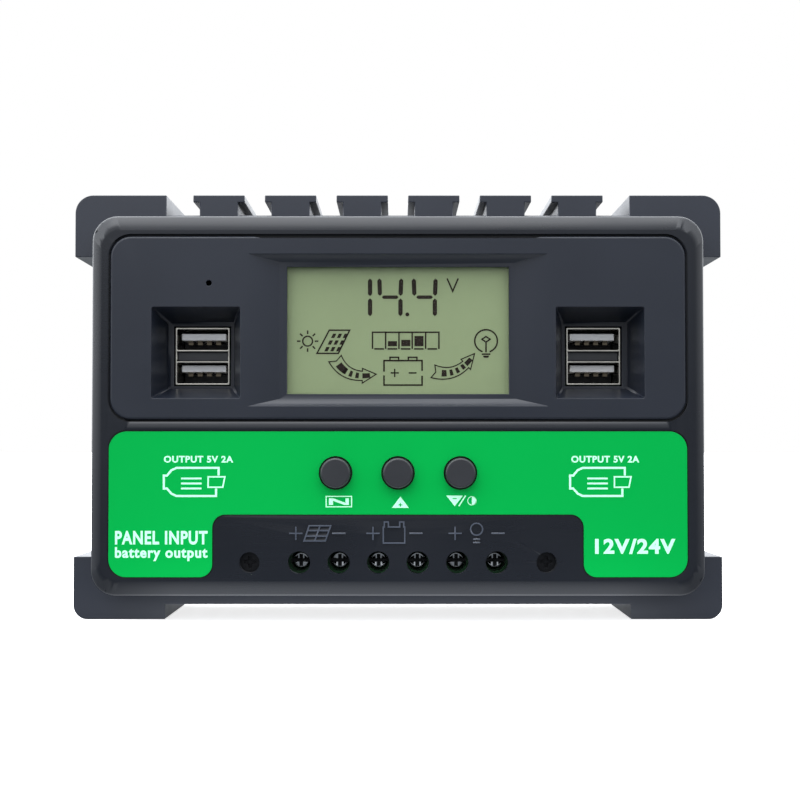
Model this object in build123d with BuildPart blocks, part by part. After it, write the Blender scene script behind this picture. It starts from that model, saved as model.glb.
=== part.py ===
from build123d import *
import math
import os

# Wall-mounted solar charge controller. Millimetres. X runs across, Z runs up and the wall is the plane Y = 0.
# Every height below is a distance out from the wall, along -Y.

# ---- whole case -------------------------------------------------------------------------------------------
case_width = 161.2           # across the corner ears
case_height = 105.6          # ear to ear
case_depth = 54.0            # wall to the front face
cover_depth = 14.0           # front cover alone
wall = 2.2                   # moulded wall of both case halves
slip = 0.25                  # gap around a panel or part dropped into a pocket
running_gap = 0.05           # radial gap of a shaft that turns or slides in its hole
seat_gap = 0.02              # radial gap of a screw in the hole it bites into
housing_depth = case_depth - cover_depth

# ---- rear housing -----------------------------------------------------------------------------------------
ear_stand = 5.6              # ear past the side wall
ear_reach = 22.8             # ear along the top and bottom
ear_drop = 15.5              # ear along the sides
ear_corner_top = 4.5
ear_corner_bottom = 3.5
ear_core = 2.2               # cored slot in the back of each ear
ear_skin = 1.7               # plastic left around the core
foot_stand = 3.7             # bottom ears past the flat bottom
fin_count = 6
fin_pitch = 17.9
fin_head_width = 12.85
fin_head_thick = 1.75
fin_neck_width = 9.6
fin_neck_height = 3.3
vent_width = 2.6
vent_length = 18.0
keyhole_x = 110.0            # hanging holes, side to side
keyhole_z = 50.0             # hanging holes, top to bottom
keyhole_entry_radius = 4.0
keyhole_slot_width = 4.2
keyhole_slot_rise = 8.0
lip_thick = 1.2
lip_height = 2.0
ring_thick = 3.0             # front ring the cover sits on
post_radius = 3.2
case_boss_radius = 4.0

# ---- front cover ------------------------------------------------------------------------------------------
cover_side_inset = 6.4       # cover edge inside the ears, each side
cover_end_inset = 6.8        # the same at top and bottom
cover_corner = 6.1
band_side = 2.75             # width of the sloped band around the face
band_end = 3.7
band_height = 2.6
pocket_depth = 2.0           # pocket that takes the display panel
crest_side = 1.55            # narrow flat crest between band and pocket
crest_end = 1.0
label_pocket_depth = 0.6
label_thick = 0.5
sign_height = 0.25           # raised signs above the terminals
sign_line = 0.34
sign_row_rise = 7.0          # sign row above the screw row
sign_arm = 3.2               # plus and minus
sign_panel = (5.5, 4.0)      # solar panel sign
sign_panel_lean = 1.4
sign_panel_rows = 3
sign_battery = (5.5, 4.2)
sign_battery_post = (1.3, 1.2)
sign_battery_post_x = 1.85
sign_bulb_radius = 1.6
sign_cap_width = 1.7

# ---- display panel ----------------------------------------------------------------------------------------
panel_edge_gap = 0.5         # dark shadow groove around the panel
panel_height_share = 0.482   # share of the cover height
panel_corner = 5.0
pry_width = 70.5             # cutaway along the top edge for lifting the panel out
pry_depth = 0.45
pry_slant = 2.2
panel_edge_radius = 0.7
panel_split_gap = 2.3        # strip of case between display panel and label
lcd_side_slope = 7.5         # long side ramps of the display recess
lcd_end_slope = 1.8
lcd_end_margin = 3.8         # recess to panel edge, top and bottom
lcd_recess_depth = 2.2
lcd_rim = 1.95               # flat rim around the display window
lcd_boss_wall = 1.2
lens_thick = 0.8
glass_thick = 2.0
backlight_thick = 2.8
glass_border = 4.0
pinhole_radius = 0.7

# ---- twin USB outlets -------------------------------------------------------------------------------------
funnel_width = 21.4
funnel_height = 22.1
funnel_floor_rim = (1.42, 1.15)  # floor around the socket, sideways and upright
funnel_floor_depth = 11.4    # below the front face
funnel_floor_thick = 1.4
funnel_wall = 1.5
funnel_side_margin = 10.0    # funnel to panel edge
funnel_lcd_gap = 1.7
usb_width = 13.4
usb_height = 14.2
usb_sheet = 0.4
usb_port_height = 5.1
usb_set_back = 0.2
usb_window_gap = 0.3
usb_fill_set_back = 1.2      # moulding between the two sockets
usb_back_thick = 3.0         # moulded back of each socket
tongue_width = 11.1
tongue_thick = 1.7
tongue_lift = 1.0            # tongues sit above the middle of their openings
tongue_close = 0.215         # and a little towards each other
tongue_set_back = 3.0
contact_count = 4
contact_pitch = 2.3
contact_width = 1.2
contact_thick = 0.25
contact_set_back = 0.8       # strips end behind the tip of the tongue
contact_bow = 1.0            # strips bow down under the tongue
contact_bow_length = 1.6

# ---- buttons ----------------------------------------------------------------------------------------------
button_pitch = 15.0
button_count = 3
button_radius = 3.65
button_gap = 0.3
button_proud = 2.0
button_flange_width = 1.15
button_flange_thick = 1.0
button_flange_gap = 0.2
button_chamfer = 0.35
plunger_radius = 1.5
switch_size = 6.0
switch_height = 3.5
switch_floor = 0.8
plunger_rest = 1.5           # plunger end above the board

# ---- terminals --------------------------------------------------------------------------------------------
pole_pitch = 9.5
pole_count = 6
poles_per_block = 2
pole_from_edge = 8.2         # screw row above the cover's bottom edge
pole_hole_radius = 2.7
block_below = 4.4            # block past the screw row, downwards
block_above = 7.4
block_gap = 0.2
block_set_back = 9.0         # block front below the front face
head_past = 0.3              # screw head past its shank
head_height = 1.8
head_gap = 0.3
head_set_back = 0.3
head_chamfer = 0.6
slot_width = 0.9
slot_length = 3.0
slot_depth = 1.0
screw_radius = 2.0
cage_width = 6.2
cage_length = 5.8            # along the wire
cage_wall = 0.7
cage_jaw = 1.6
cage_travel = 3.5
cage_gap = 0.3
wire_space = 5.1
bar_thick = 1.2
bar_width = 4.0
entry_width = 5.6
entry_height = 6.2

# ---- screws and boards ------------------------------------------------------------------------------------
case_screw_past = 7.2        # case screws past the terminal blocks
case_hole_radius = 2.48
case_screw_radius = 1.5
case_head_radius = 2.35
case_head_height = 1.6
case_screw_recess = 2.6      # head below the front face
case_screw_bite = 11.0       # shank in the housing boss
m3_radius = 1.5
m3_head_radius = 2.7
m3_head_height = 1.8
m2_radius = 1.0
m2_head_radius = 1.8
m2_head_height = 1.3
clear_hole = 0.2             # radial room of a screw passing through a board
board_thick = 1.6
main_board_depth = 30.0      # back of the main board below the front face
board_margin = 0.6
display_board_depth = 10.2   # back of the display board below the front face

# ---- heat sink and power parts -----------------------------------------------------------------------------
sink_width = 90.0
sink_height = 45.0
sink_middle = 12.5
sink_base = 3.0
sink_fin_height = 11.0
sink_fin_count = 16
sink_fin_thick = 1.4
sink_back_gap = 1.8
pad_thick = 0.5
mosfet_count = 4
mosfet_pitch = 20.0
mosfet_width = 10.0
mosfet_length = 15.0
mosfet_tab = 1.3
mosfet_body = 3.2
coil_middle = (-17.0, 18.0)
coil_outer = 10.5
coil_inner = 5.5
coil_height = 8.0
coil_lift = 1.4              # coil stands off the board by one turn of wire
coil_wire = 1.2
coil_gap = 0.15
coil_turns = 12
transistor_tab_shift = 2.0
transistor_hole_rise = 7.2
transistor_hole_radius = 1.7
transistor_body_length = 9.0
lead_pitch = 2.54
lead_width = 0.8
lead_lift = 1.2              # lead above the back of the body
lead_run = 1.6

# ---- small parts on the boards -----------------------------------------------------------------------------
header_count = 8
header_pitch = 2.54
header_below = 10.5          # row below the display panel
header_pin = 0.64
header_strip_height = 2.5
header_strip_depth = 2.6
socket_height = 9.0
socket_hole = 0.9
socket_roof = 2.0
capacitor_radius = 5.0
capacitor_height = 16.0
capacitor_rim = 0.8
capacitor_dish = 0.3
capacitor_past = 13.5        # beside the sockets
capacitor_rows = (-18.0, -6.0)
fuse_middle = (19.0, 25.0)
fuse_size = (18.8, 3.8)
fuse_height = 9.0
fuse_proud = 3.0
holder_wall = (1.1, 1.4)
buzzer_middle = (19.0, 11.0)
buzzer_radius = 6.0
buzzer_height = 8.5
buzzer_outlet = 1.0
chip_thick = 1.5
driver_middle = (-16.0, 17.6)
driver_size = (10.0, 10.0)
regulator_middles = [(10.0, 21.6), (22.0, 21.6)]
regulator_size = (6.0, 8.0)
processor_middle = (-24.0, -3.0)
processor_size = (9.0, 9.0)
gate_driver_middles = [(-40.0, -22.0), (40.0, -22.0)]
gate_driver_size = (5.0, 6.0)
shunt_past = 10.3            # beside the case screws
shunt_rise = 4.0
shunt_span = 11.0
shunt_width = 3.0
shunt_thick = 1.0
shunt_height = 5.0

# ---- derived places ---------------------------------------------------------------------------------------
half_width = case_width / 2
half_height = case_height / 2
body_side = half_width - ear_stand
body_top = half_height - fin_head_thick - fin_neck_height
body_bottom = -half_height + foot_stand
cover_width = case_width - 2 * cover_side_inset
cover_height = case_height - 2 * cover_end_inset
cover_half = cover_height / 2
cover_inner = (cover_width - 2 * wall, cover_height - 2 * wall)
lip_outer = (cover_inner[0] - 0.4, cover_inner[1] - 0.4)
lip_inner = (lip_outer[0] - 2 * lip_thick, lip_outer[1] - 2 * lip_thick)
crest_size = (cover_width - 2 * band_side, cover_height - 2 * band_end)
funnel_floor_width = usb_width + 2 * funnel_floor_rim[0]
funnel_floor_height = usb_height + 2 * funnel_floor_rim[1]
button_flange_radius = button_radius + button_flange_width
head_radius = screw_radius + head_past
main_board_height = case_depth - main_board_depth
front = case_depth
pocket_floor = front - pocket_depth
pocket_back = pocket_floor - pocket_depth
lower_back = front - wall
crest_top = crest_size[1] / 2
panel_height = cover_height * panel_height_share
pocket_top = crest_top - crest_end
panel_top = pocket_top - panel_edge_gap
panel_bottom = panel_top - panel_height
panel_middle = (panel_top + panel_bottom) / 2
panel_width = crest_size[0] - 2 * crest_side - 2 * panel_edge_gap
label_top = panel_bottom - panel_split_gap - panel_edge_gap
label_bottom = -cover_half + 4.7
label_width = panel_width + 0.2
label_height = label_top - label_bottom
label_middle = (label_top + label_bottom) / 2
label_corner = 4.3
notch_top = -cover_half + 19.7
notch_width = 89.2
notch_corner = 3.1
button_row = (label_top + notch_top) / 2
button_places = [((place - 1) * button_pitch, button_row) for place in range(button_count)]
pole_row = -cover_half + pole_from_edge
pole_xs = [(place - (pole_count - 1) / 2) * pole_pitch for place in range(pole_count)]
pole_places = [(across, pole_row) for across in pole_xs]
case_screw_x = pole_count * pole_pitch / 2 + case_screw_past
case_screw_places = [(-case_screw_x, pole_row), (case_screw_x, pole_row)]

# display recess, window and the stack behind it
funnel_x = panel_width / 2 - funnel_side_margin - funnel_width / 2
funnel_z = panel_middle - 6.0
lcd_half = funnel_x - funnel_width / 2 - funnel_lcd_gap
lcd_outer = (2 * lcd_half, panel_height - 2 * lcd_end_margin)
lcd_floor = (lcd_outer[0] - 2 * lcd_side_slope, lcd_outer[1] - 2 * lcd_end_slope)
lcd_middle = panel_middle - 0.5
lcd_window = (lcd_floor[0] - 2 * lcd_rim, lcd_floor[1] - 1.2 * lcd_rim)
lcd_boss = (lcd_outer[0] + 2 * lcd_boss_wall, lcd_outer[1] + 2 * lcd_boss_wall)
boss_back = pocket_floor - 1.8
lens_size = (lcd_window[0] + 2.4, lcd_window[1] + 1.6)
glass_size = (lcd_window[0] + 2 * glass_border, lcd_window[1] + glass_border)
glass_front = boss_back - 0.1
glass_back = glass_front - glass_thick
display_board_back = front - display_board_depth
display_board_front = display_board_back + board_thick
usb_x = funnel_x - 0.3
usb_z = funnel_z - 0.27
usb_front = front - funnel_floor_depth - usb_set_back
usb_middle_height = usb_height - 2 * usb_port_height - 4 * usb_sheet
led_place = (-funnel_x + 3.1, panel_top - 11.4)

# boards, posts and screws
main_board_front = main_board_height + board_thick
board_size = (lip_inner[0] - 2 * board_margin, lip_inner[1] - 2 * board_margin)
post_x = board_size[0] / 2 - 6.0
board_screw_places = [(side * post_x, row) for side in (-1, 1) for row in (pole_row, board_size[1] / 2 - 17.8)]
rear_screw_places = [(side * (post_x + 2.0), board_size[1] / 2 - 4.0) for side in (-1, 1)]
rear_screw_seat = housing_depth - 10.0
case_screw_seat = front - case_screw_recess - case_head_height
sink_back = wall + sink_back_gap
sink_base_back = sink_back + sink_fin_height
sink_front = sink_base_back + sink_base
pad_front = sink_front + pad_thick
sink_screw_places = [(side * (sink_width / 2 - 4.0), sink_middle + rise)
                     for side in (-1, 1) for rise in (-18.5, 18.5)]
mosfet_places = [((place - (mosfet_count - 1) / 2) * mosfet_pitch, sink_middle) for place in range(mosfet_count)]
display_edge = funnel_x - funnel_floor_width / 2 - funnel_wall - 1.3
display_post_x = display_edge - 4.8
display_post_places = [(side * display_post_x, panel_bottom - 15.0) for side in (-1, 1)]
display_post_places += [(side * display_post_x, cover_inner[1] / 2 - 3.4) for side in (-1, 1)]
header_row = panel_bottom - header_below
header_places = [((place - (header_count - 1) / 2) * header_pitch, header_row) for place in range(header_count)]
display_bottom = panel_bottom - 19.2
display_top = cover_inner[1] / 2 - 1.0

# terminal stack, from the board out to the screw heads
block_front = front - block_set_back
head_front = block_front - head_set_back
head_back = head_front - head_height
shoulder_front = head_back - 0.1
shoulder_back = shoulder_front - 1.0
cage_front = shoulder_back - 0.2 - cage_travel
cage_window_front = cage_front - cage_jaw
bar_front = cage_window_front - 0.3
bar_back = bar_front - bar_thick
cage_window_back = bar_back - wire_space
cage_back = cage_window_back - cage_jaw
wire_middle = (cage_window_back + bar_back) / 2
block_bottom = pole_row - block_below
block_top = pole_row + block_above
cage_room_top = pole_row + cage_length / 2 + cage_gap
leg_top = cage_room_top + 2.2


def facing(height):
    """Plane parallel to the wall, looking out of the front."""
    return Plane.XZ.offset(height)


def prism(low, high, centres, size, corner=0.0, mode=Mode.ADD):
    """Straight-sided blocks between two distances from the wall."""
    with BuildSketch(facing(low)) as outline:
        with Locations(*centres):
            if corner > 0:
                RectangleRounded(size[0], size[1], corner)
            else:
                Rectangle(size[0], size[1])
    extrude(outline.sketch, amount=high - low, mode=mode)


def rod(low, high, centres, radius, mode=Mode.ADD):
    """Round bars or round holes between two distances from the wall."""
    with BuildSketch(facing(low)) as outline:
        with Locations(*centres):
            Circle(radius)
    extrude(outline.sketch, amount=high - low, mode=mode)


def taper(low, low_size, high, high_size, corner, centre, high_centre=None, high_corner=None, mode=Mode.ADD):
    """Block whose outline changes evenly from one distance to the next."""
    with BuildSketch(facing(low)) as first:
        with Locations(centre):
            RectangleRounded(low_size[0], low_size[1], corner)
    with BuildSketch(facing(high)) as second:
        with Locations(high_centre or centre):
            RectangleRounded(high_size[0], high_size[1], high_corner or corner)
    loft([first.sketch, second.sketch], ruled=True, mode=mode)


def screw(head_seat, head_high, head_wide, shank_end, shank_wide, centres, slot=True):
    """Pan-head screws whose heads face away from the end of the shank."""
    way = 1 if head_seat > shank_end else -1
    head_top = head_seat + way * head_high
    rod(min(head_seat, head_top), max(head_seat, head_top), centres, head_wide)
    rod(min(head_seat, shank_end), max(head_seat, shank_end), centres, shank_wide)
    if slot:
        cut_from = head_top - way * head_high * 0.5
        for size in ((head_wide * 1.2, head_wide * 0.3), (head_wide * 0.3, head_wide * 1.2)):
            prism(min(cut_from, head_top), max(cut_from, head_top), centres, size, mode=Mode.SUBTRACT)


def label_shape(height, grow):
    """Outline of the printed overlay: a wide panel with a notch for the terminals."""
    with BuildSketch(facing(height)) as shape:
        with Locations((0, label_middle)):
            RectangleRounded(label_width + 2 * grow, label_height + 2 * grow, label_corner)
        deep = 2 * (notch_top - label_bottom)
        with Locations((0, notch_top - grow - deep / 2)):
            RectangleRounded(notch_width - 2 * grow, deep, notch_corner, mode=Mode.SUBTRACT)
        low_row = shape.vertices().group_by(Axis.Y)[0]
        fillet([point for point in low_row if abs(point.X) < notch_width / 2 + 1], notch_corner)
    return shape.sketch


def rear_housing():
    """Deep moulded back with ears, fins, hanging holes, wire entries and screw posts."""
    with BuildPart() as made:
        with BuildSketch(facing(0)) as outline:
            Rectangle(case_width, case_height)
            fillet(outline.vertices().group_by(Axis.Y)[-1], ear_corner_top)
            fillet(outline.vertices().group_by(Axis.Y)[0], ear_corner_bottom)
            with Locations((-half_width, 0), (half_width, 0)):
                Rectangle(2 * ear_stand, case_height - 2 * ear_drop, mode=Mode.SUBTRACT)
            plain = case_width - 2 * ear_reach
            with Locations((0, half_height)):
                Rectangle(plain, 2 * (half_height - body_top), mode=Mode.SUBTRACT)
            with Locations((0, -half_height)):
                Rectangle(plain, 2 * foot_stand, mode=Mode.SUBTRACT)
            fin_xs = [(place - (fin_count - 1) / 2) * fin_pitch for place in range(fin_count)]
            with Locations(*[(across, body_top + fin_neck_height / 2) for across in fin_xs]):
                Rectangle(fin_neck_width, fin_neck_height)
            with Locations(*[(across, half_height - fin_head_thick / 2) for across in fin_xs]):
                Rectangle(fin_head_width, fin_head_thick)
        extrude(outline.sketch, amount=housing_depth)
        ring_back = housing_depth - ring_thick
        room_size = (2 * (body_side - wall), body_top - body_bottom - 2 * wall)
        room_middle = (0, (body_top + body_bottom) / 2)
        prism(wall, ring_back, [room_middle], room_size, wall, mode=Mode.SUBTRACT)
        prism(ring_back, housing_depth, [(0, 0)], lip_inner, cover_corner - wall - lip_thick, mode=Mode.SUBTRACT)
        prism(housing_depth, housing_depth + lip_height, [(0, 0)], lip_outer, cover_corner - wall)
        prism(housing_depth, housing_depth + lip_height, [(0, 0)], lip_inner, cover_corner - wall - lip_thick,
              mode=Mode.SUBTRACT)
        # screw posts and bosses
        rod(wall, main_board_height, board_screw_places, post_radius)
        rod(wall, housing_depth + 0.4, case_screw_places, case_boss_radius)
        rod(0, housing_depth - 2.0, rear_screw_places, post_radius + 0.5)
        rod(main_board_height - 8.0, main_board_height, board_screw_places, m3_radius + seat_gap,
            mode=Mode.SUBTRACT)
        rod(housing_depth - case_screw_bite - 1.0, housing_depth + 0.4, case_screw_places,
            case_screw_radius + seat_gap, mode=Mode.SUBTRACT)
        rod(0, rear_screw_seat, rear_screw_places, m3_head_radius + 0.3, mode=Mode.SUBTRACT)
        rod(rear_screw_seat, housing_depth - 2.0, rear_screw_places, m3_radius + clear_hole, mode=Mode.SUBTRACT)
        # hanging holes
        hang_places = [(across * keyhole_x / 2, up * keyhole_z / 2) for across in (-1, 1) for up in (-1, 1)]
        rod(0, wall, hang_places, keyhole_entry_radius, mode=Mode.SUBTRACT)
        slot_places = [(across, up + keyhole_slot_rise / 2) for across, up in hang_places]
        prism(0, wall, slot_places, (keyhole_slot_width, keyhole_slot_rise), mode=Mode.SUBTRACT)
        rod(0, wall, [(across, up + keyhole_slot_rise) for across, up in hang_places], keyhole_slot_width / 2,
            mode=Mode.SUBTRACT)
        # wire entries through the flat bottom
        with BuildSketch(Plane.XY.offset(body_bottom)) as entries:
            with Locations(*[(across, -wire_middle) for across in pole_xs]):
                Rectangle(entry_width, entry_height)
        extrude(entries.sketch, amount=wall, mode=Mode.SUBTRACT)
        # vents between the fins and beside the entries
        gap_xs = [(place - (fin_count - 2) / 2) * fin_pitch for place in range(fin_count - 1)]
        with BuildSketch(Plane.XY.offset(body_top - wall)) as vents:
            with Locations(*[(across, -housing_depth / 2) for across in gap_xs]):
                SlotOverall(vent_length, vent_width, rotation=90)
        extrude(vents.sketch, amount=wall, mode=Mode.SUBTRACT)
        low_vents = [side * (40.0 + 6.0 * step) for side in (-1, 1) for step in range(3)]
        with BuildSketch(Plane.XY.offset(body_bottom)) as drains:
            with Locations(*[(across, -housing_depth / 2) for across in low_vents]):
                SlotOverall(vent_length, vent_width, rotation=90)
        extrude(drains.sketch, amount=wall, mode=Mode.SUBTRACT)
        # cored slots in the back of the ears
        core_deep = housing_depth - 4.0
        side_x = half_width - ear_skin - ear_core / 2
        top_z = half_height - ear_skin - ear_core / 2
        side_run = ear_drop - ear_skin - ear_corner_top
        side_z = half_height - ear_drop + ear_skin + side_run / 2
        prism(0, core_deep, [(side * side_x, end * side_z) for side in (-1, 1) for end in (-1, 1)],
              (ear_core, side_run - ear_skin), mode=Mode.SUBTRACT)
        across_run = ear_reach - 2 * ear_corner_top - ear_skin
        across_x = half_width - ear_corner_top - ear_skin - across_run / 2
        prism(0, core_deep, [(-across_x, top_z), (across_x, top_z)], (across_run, ear_core), mode=Mode.SUBTRACT)
    return made.part


def front_cover():
    """Front half of the case with its sloped band, pockets, screw tubes and raised signs."""
    with BuildPart() as made:
        band_back = front - band_height
        prism(housing_depth, band_back, [(0, 0)], (cover_width, cover_height), cover_corner)
        taper(band_back, (cover_width, cover_height), front, crest_size, cover_corner, (0, 0),
              high_corner=cover_corner - band_side / 2)
        inner_corner = cover_corner - wall
        prism(housing_depth, pocket_back, [(0, 0)], cover_inner, inner_corner, mode=Mode.SUBTRACT)
        low_top = panel_bottom - panel_edge_gap - wall
        low_size = (cover_inner[0], low_top + cover_inner[1] / 2)
        prism(pocket_back, lower_back, [(0, low_top - low_size[1] / 2)], low_size, inner_corner,
              mode=Mode.SUBTRACT)
        pocket_size = (panel_width + 2 * panel_edge_gap, panel_height + 2 * panel_edge_gap)
        prism(pocket_floor, front, [(0, panel_middle)], pocket_size, panel_corner + panel_edge_gap,
              mode=Mode.SUBTRACT)
        boss_room = (lcd_boss[0] + 2 * slip, lcd_boss[1] + 2 * slip)
        prism(pocket_back, pocket_floor, [(0, lcd_middle)], boss_room, mode=Mode.SUBTRACT)
        funnel_room = (funnel_width + 2 * funnel_wall, funnel_height + 2 * funnel_wall)
        prism(pocket_back, pocket_floor, [(-funnel_x, funnel_z), (funnel_x, funnel_z)], funnel_room, 1.5,
              mode=Mode.SUBTRACT)
        rod(pocket_back, pocket_floor, [led_place], 1.9, mode=Mode.SUBTRACT)
        extrude(label_shape(front - label_pocket_depth, slip), amount=label_pocket_depth, mode=Mode.SUBTRACT)
        # holes for buttons, terminal screws and case screws
        rod(lower_back, front, button_places, button_radius + button_gap, mode=Mode.SUBTRACT)
        rod(lower_back, front, pole_places, pole_hole_radius, mode=Mode.SUBTRACT)
        tube_back = housing_depth + 0.6
        rod(tube_back, lower_back, case_screw_places, case_boss_radius)
        rod(case_screw_seat, front, case_screw_places, case_hole_radius, mode=Mode.SUBTRACT)
        rod(tube_back, case_screw_seat, case_screw_places, case_screw_radius + clear_hole, mode=Mode.SUBTRACT)
        # bosses for the two rear screws and posts for the display board
        rod(housing_depth - 1.6, pocket_back, rear_screw_places, post_radius)
        rod(housing_depth - 1.6, pocket_back - 2.0, rear_screw_places, m3_radius + seat_gap, mode=Mode.SUBTRACT)
        rod(display_board_front, lower_back, display_post_places[:2], 2.2)
        rod(display_board_front, pocket_back, display_post_places[2:], 2.2)
        rod(display_board_front, display_board_front + 3.6, display_post_places, m2_radius + seat_gap,
            mode=Mode.SUBTRACT)
        raised_signs()
    return made.part


def raised_signs():
    """Thin raised plus, minus, panel, battery and lamp signs above the terminals."""
    row = pole_row + sign_row_rise
    high = front + sign_height
    plus_shifts = (-0.75, -1.25, -0.55)
    minus_shifts = (0.05, -0.45, 0.25)
    pluses = [(across + shift, row) for across, shift in zip(pole_xs[0::2], plus_shifts)]
    minuses = [(across + shift, row) for across, shift in zip(pole_xs[1::2], minus_shifts)]
    middles = [(left[0] + right[0]) / 2 for left, right in zip(pluses, minuses)]
    prism(front, high, pluses + minuses, (sign_arm, sign_line))
    prism(front, high, pluses, (sign_line, sign_arm))
    # panel sign: a leaning frame with a grid
    with BuildSketch(facing(front)) as panel_sign:
        half_wide, half_tall, lean = sign_panel[0] / 2, sign_panel[1] / 2, sign_panel_lean / 2
        with BuildLine():
            Polyline((-half_wide - lean, -half_tall), (-half_wide + lean, half_tall), (half_wide + lean, half_tall),
                     (half_wide - lean, -half_tall), close=True)
        make_face()
        offset(amount=-sign_line, kind=Kind.INTERSECTION, mode=Mode.SUBTRACT)
        for line in range(1, sign_panel_rows):
            rise = -half_tall + sign_panel[1] * line / sign_panel_rows
            with Locations((lean * rise / half_tall, rise)):
                Rectangle(sign_panel[0] - sign_line, sign_line)
        Rectangle(sign_line, sign_panel[1] - sign_line, rotation=-math.degrees(math.atan(lean / half_tall)))
    leaning = panel_sign.sketch.translate((middles[0], 0, row))
    extrude(leaning, amount=sign_height)
    # battery sign: a box with two posts
    with BuildSketch(facing(front)) as battery_sign:
        post_rise = (sign_battery[1] + sign_battery_post[1]) / 2
        with Locations((middles[1] - 0.1, row - 0.4)):
            Rectangle(*sign_battery)
            Rectangle(sign_battery[0] - 2 * sign_line, sign_battery[1] - 2 * sign_line, mode=Mode.SUBTRACT)
            with Locations((-sign_battery_post_x, post_rise), (sign_battery_post_x, post_rise)):
                Rectangle(*sign_battery_post)
                with Locations((0, -sign_line)):
                    Rectangle(sign_battery_post[0] - 2 * sign_line, sign_battery_post[1], mode=Mode.SUBTRACT)
    extrude(battery_sign.sketch, amount=sign_height)
    # lamp sign: a bulb outline above two cap lines
    with BuildSketch(facing(front)) as lamp_sign:
        with Locations((middles[2], row + 1.0)):
            Circle(sign_bulb_radius)
            Circle(sign_bulb_radius - sign_line, mode=Mode.SUBTRACT)
        with Locations((middles[2], row - 1.4), (middles[2], row - 2.2)):
            Rectangle(sign_cap_width, sign_line)
    extrude(lamp_sign.sketch, amount=sign_height)


def display_panel():
    """Raised upper panel with the display recess and two funnels down to the outlets."""
    with BuildPart() as made:
        prism(pocket_floor, front, [(0, panel_middle)], (panel_width, panel_height), panel_corner)
        fillet(made.faces().sort_by(Axis.Y)[0].edges(), panel_edge_radius)
        prism(boss_back, pocket_floor, [(0, lcd_middle)], lcd_boss)
        funnel_places = [(-funnel_x, funnel_z), (funnel_x, funnel_z)]
        floor_front = front - funnel_floor_depth
        floor_back = floor_front - funnel_floor_thick
        share = (pocket_floor - floor_front) / funnel_floor_depth
        top_width = funnel_floor_width + (funnel_width - funnel_floor_width) * share
        top_height = funnel_floor_height + (funnel_height - funnel_floor_height) * share
        for place in funnel_places:
            taper(floor_back, (funnel_floor_width + 2 * funnel_wall, funnel_floor_height + 2 * funnel_wall),
                  pocket_floor, (top_width + 2 * funnel_wall, top_height + 2 * funnel_wall), 1.2, place)
        for place in funnel_places:
            taper(floor_front, (funnel_floor_width, funnel_floor_height), front, (funnel_width, funnel_height), 0.5,
                  place, mode=Mode.SUBTRACT)
        window = (usb_width + 2 * usb_window_gap, usb_height + 2 * usb_window_gap)
        prism(floor_back, floor_front, [(-usb_x, usb_z), (usb_x, usb_z)], window, mode=Mode.SUBTRACT)
        taper(front - lcd_recess_depth, lcd_floor, front, lcd_outer, 0.3, (0, lcd_middle), mode=Mode.SUBTRACT)
        prism(boss_back, front, [(0, lcd_middle)], lcd_window, mode=Mode.SUBTRACT)
        lens_room = (lens_size[0] + 0.2, lens_size[1] + 0.2)
        prism(boss_back, boss_back + lens_thick, [(0, lcd_middle)], lens_room, mode=Mode.SUBTRACT)
        rod(pocket_floor, front, [led_place], pinhole_radius, mode=Mode.SUBTRACT)
        with BuildSketch(facing(pocket_floor)) as pry_slot:
            with BuildLine():
                half, low = pry_width / 2, panel_top - pry_depth
                Polyline((-half, panel_top), (-half + pry_slant, low), (half - pry_slant, low), (half, panel_top),
                         (half, panel_top + pry_depth), (-half, panel_top + pry_depth), close=True)
            make_face()
        extrude(pry_slot.sketch, amount=front - pocket_floor, mode=Mode.SUBTRACT)
    return made.part


def front_label():
    """Printed overlay that sits in its pocket around the terminals."""
    with BuildPart() as made:
        low = front - label_pocket_depth
        extrude(label_shape(low, 0), amount=label_thick)
        rod(low, front, button_places, button_radius + button_gap + 0.1, mode=Mode.SUBTRACT)
    return made.part


def lcd_window_lens():
    """Clear sheet behind the display opening."""
    with BuildPart() as made:
        prism(boss_back, boss_back + lens_thick, [(0, lcd_middle)], lens_size)
    return made.part


def lcd_glass():
    """Display cell."""
    with BuildPart() as made:
        prism(glass_back, glass_front, [(0, lcd_middle)], glass_size)
    return made.part


def lcd_frame():
    """Moulded holder around cell and backlight, standing on the display board."""
    with BuildPart() as made:
        outer = (glass_size[0] + 2.4, glass_size[1] + 2.4)
        prism(display_board_front, glass_front - 0.2, [(0, lcd_middle)], outer, 1.0)
        inner = (glass_size[0] + 0.2, glass_size[1] + 0.2)
        prism(display_board_front, glass_front - 0.2, [(0, lcd_middle)], inner, mode=Mode.SUBTRACT)
    return made.part


def lcd_backlight():
    """Milky light guide behind the cell."""
    with BuildPart() as made:
        prism(display_board_front, glass_back, [(0, lcd_middle + 1.5)],
              (glass_size[0] - 2.0, glass_size[1] - 5.0), 1.0)
    return made.part


def lcd_pins():
    """Row of contact pins from the cell down to the display board."""
    with BuildPart() as made:
        row = lcd_middle - glass_size[1] / 2 + 1.4
        step = glass_size[0] / 26
        places = [((place - 11.5) * step, row) for place in range(24)]
        prism(display_board_front, glass_back, places, (0.5, 0.5))
    return made.part


def display_board():
    """Upper circuit board carrying the display, the three switches and the status lamp."""
    with BuildPart() as made:
        tall = display_top - display_bottom
        prism(display_board_back, display_board_front, [(0, (display_top + display_bottom) / 2)],
              (2 * display_edge, tall), 1.0)
        wing_low = led_place[1] - 2.6
        wing_left = led_place[0] - 5.0
        wing_size = (-wing_left, display_top - wing_low)
        prism(display_board_back, display_board_front, [(wing_left / 2, (display_top + wing_low) / 2)],
              wing_size, 1.0)
        rod(display_board_back, display_board_front, display_post_places, m2_radius + clear_hole,
            mode=Mode.SUBTRACT)
    return made.part


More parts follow.
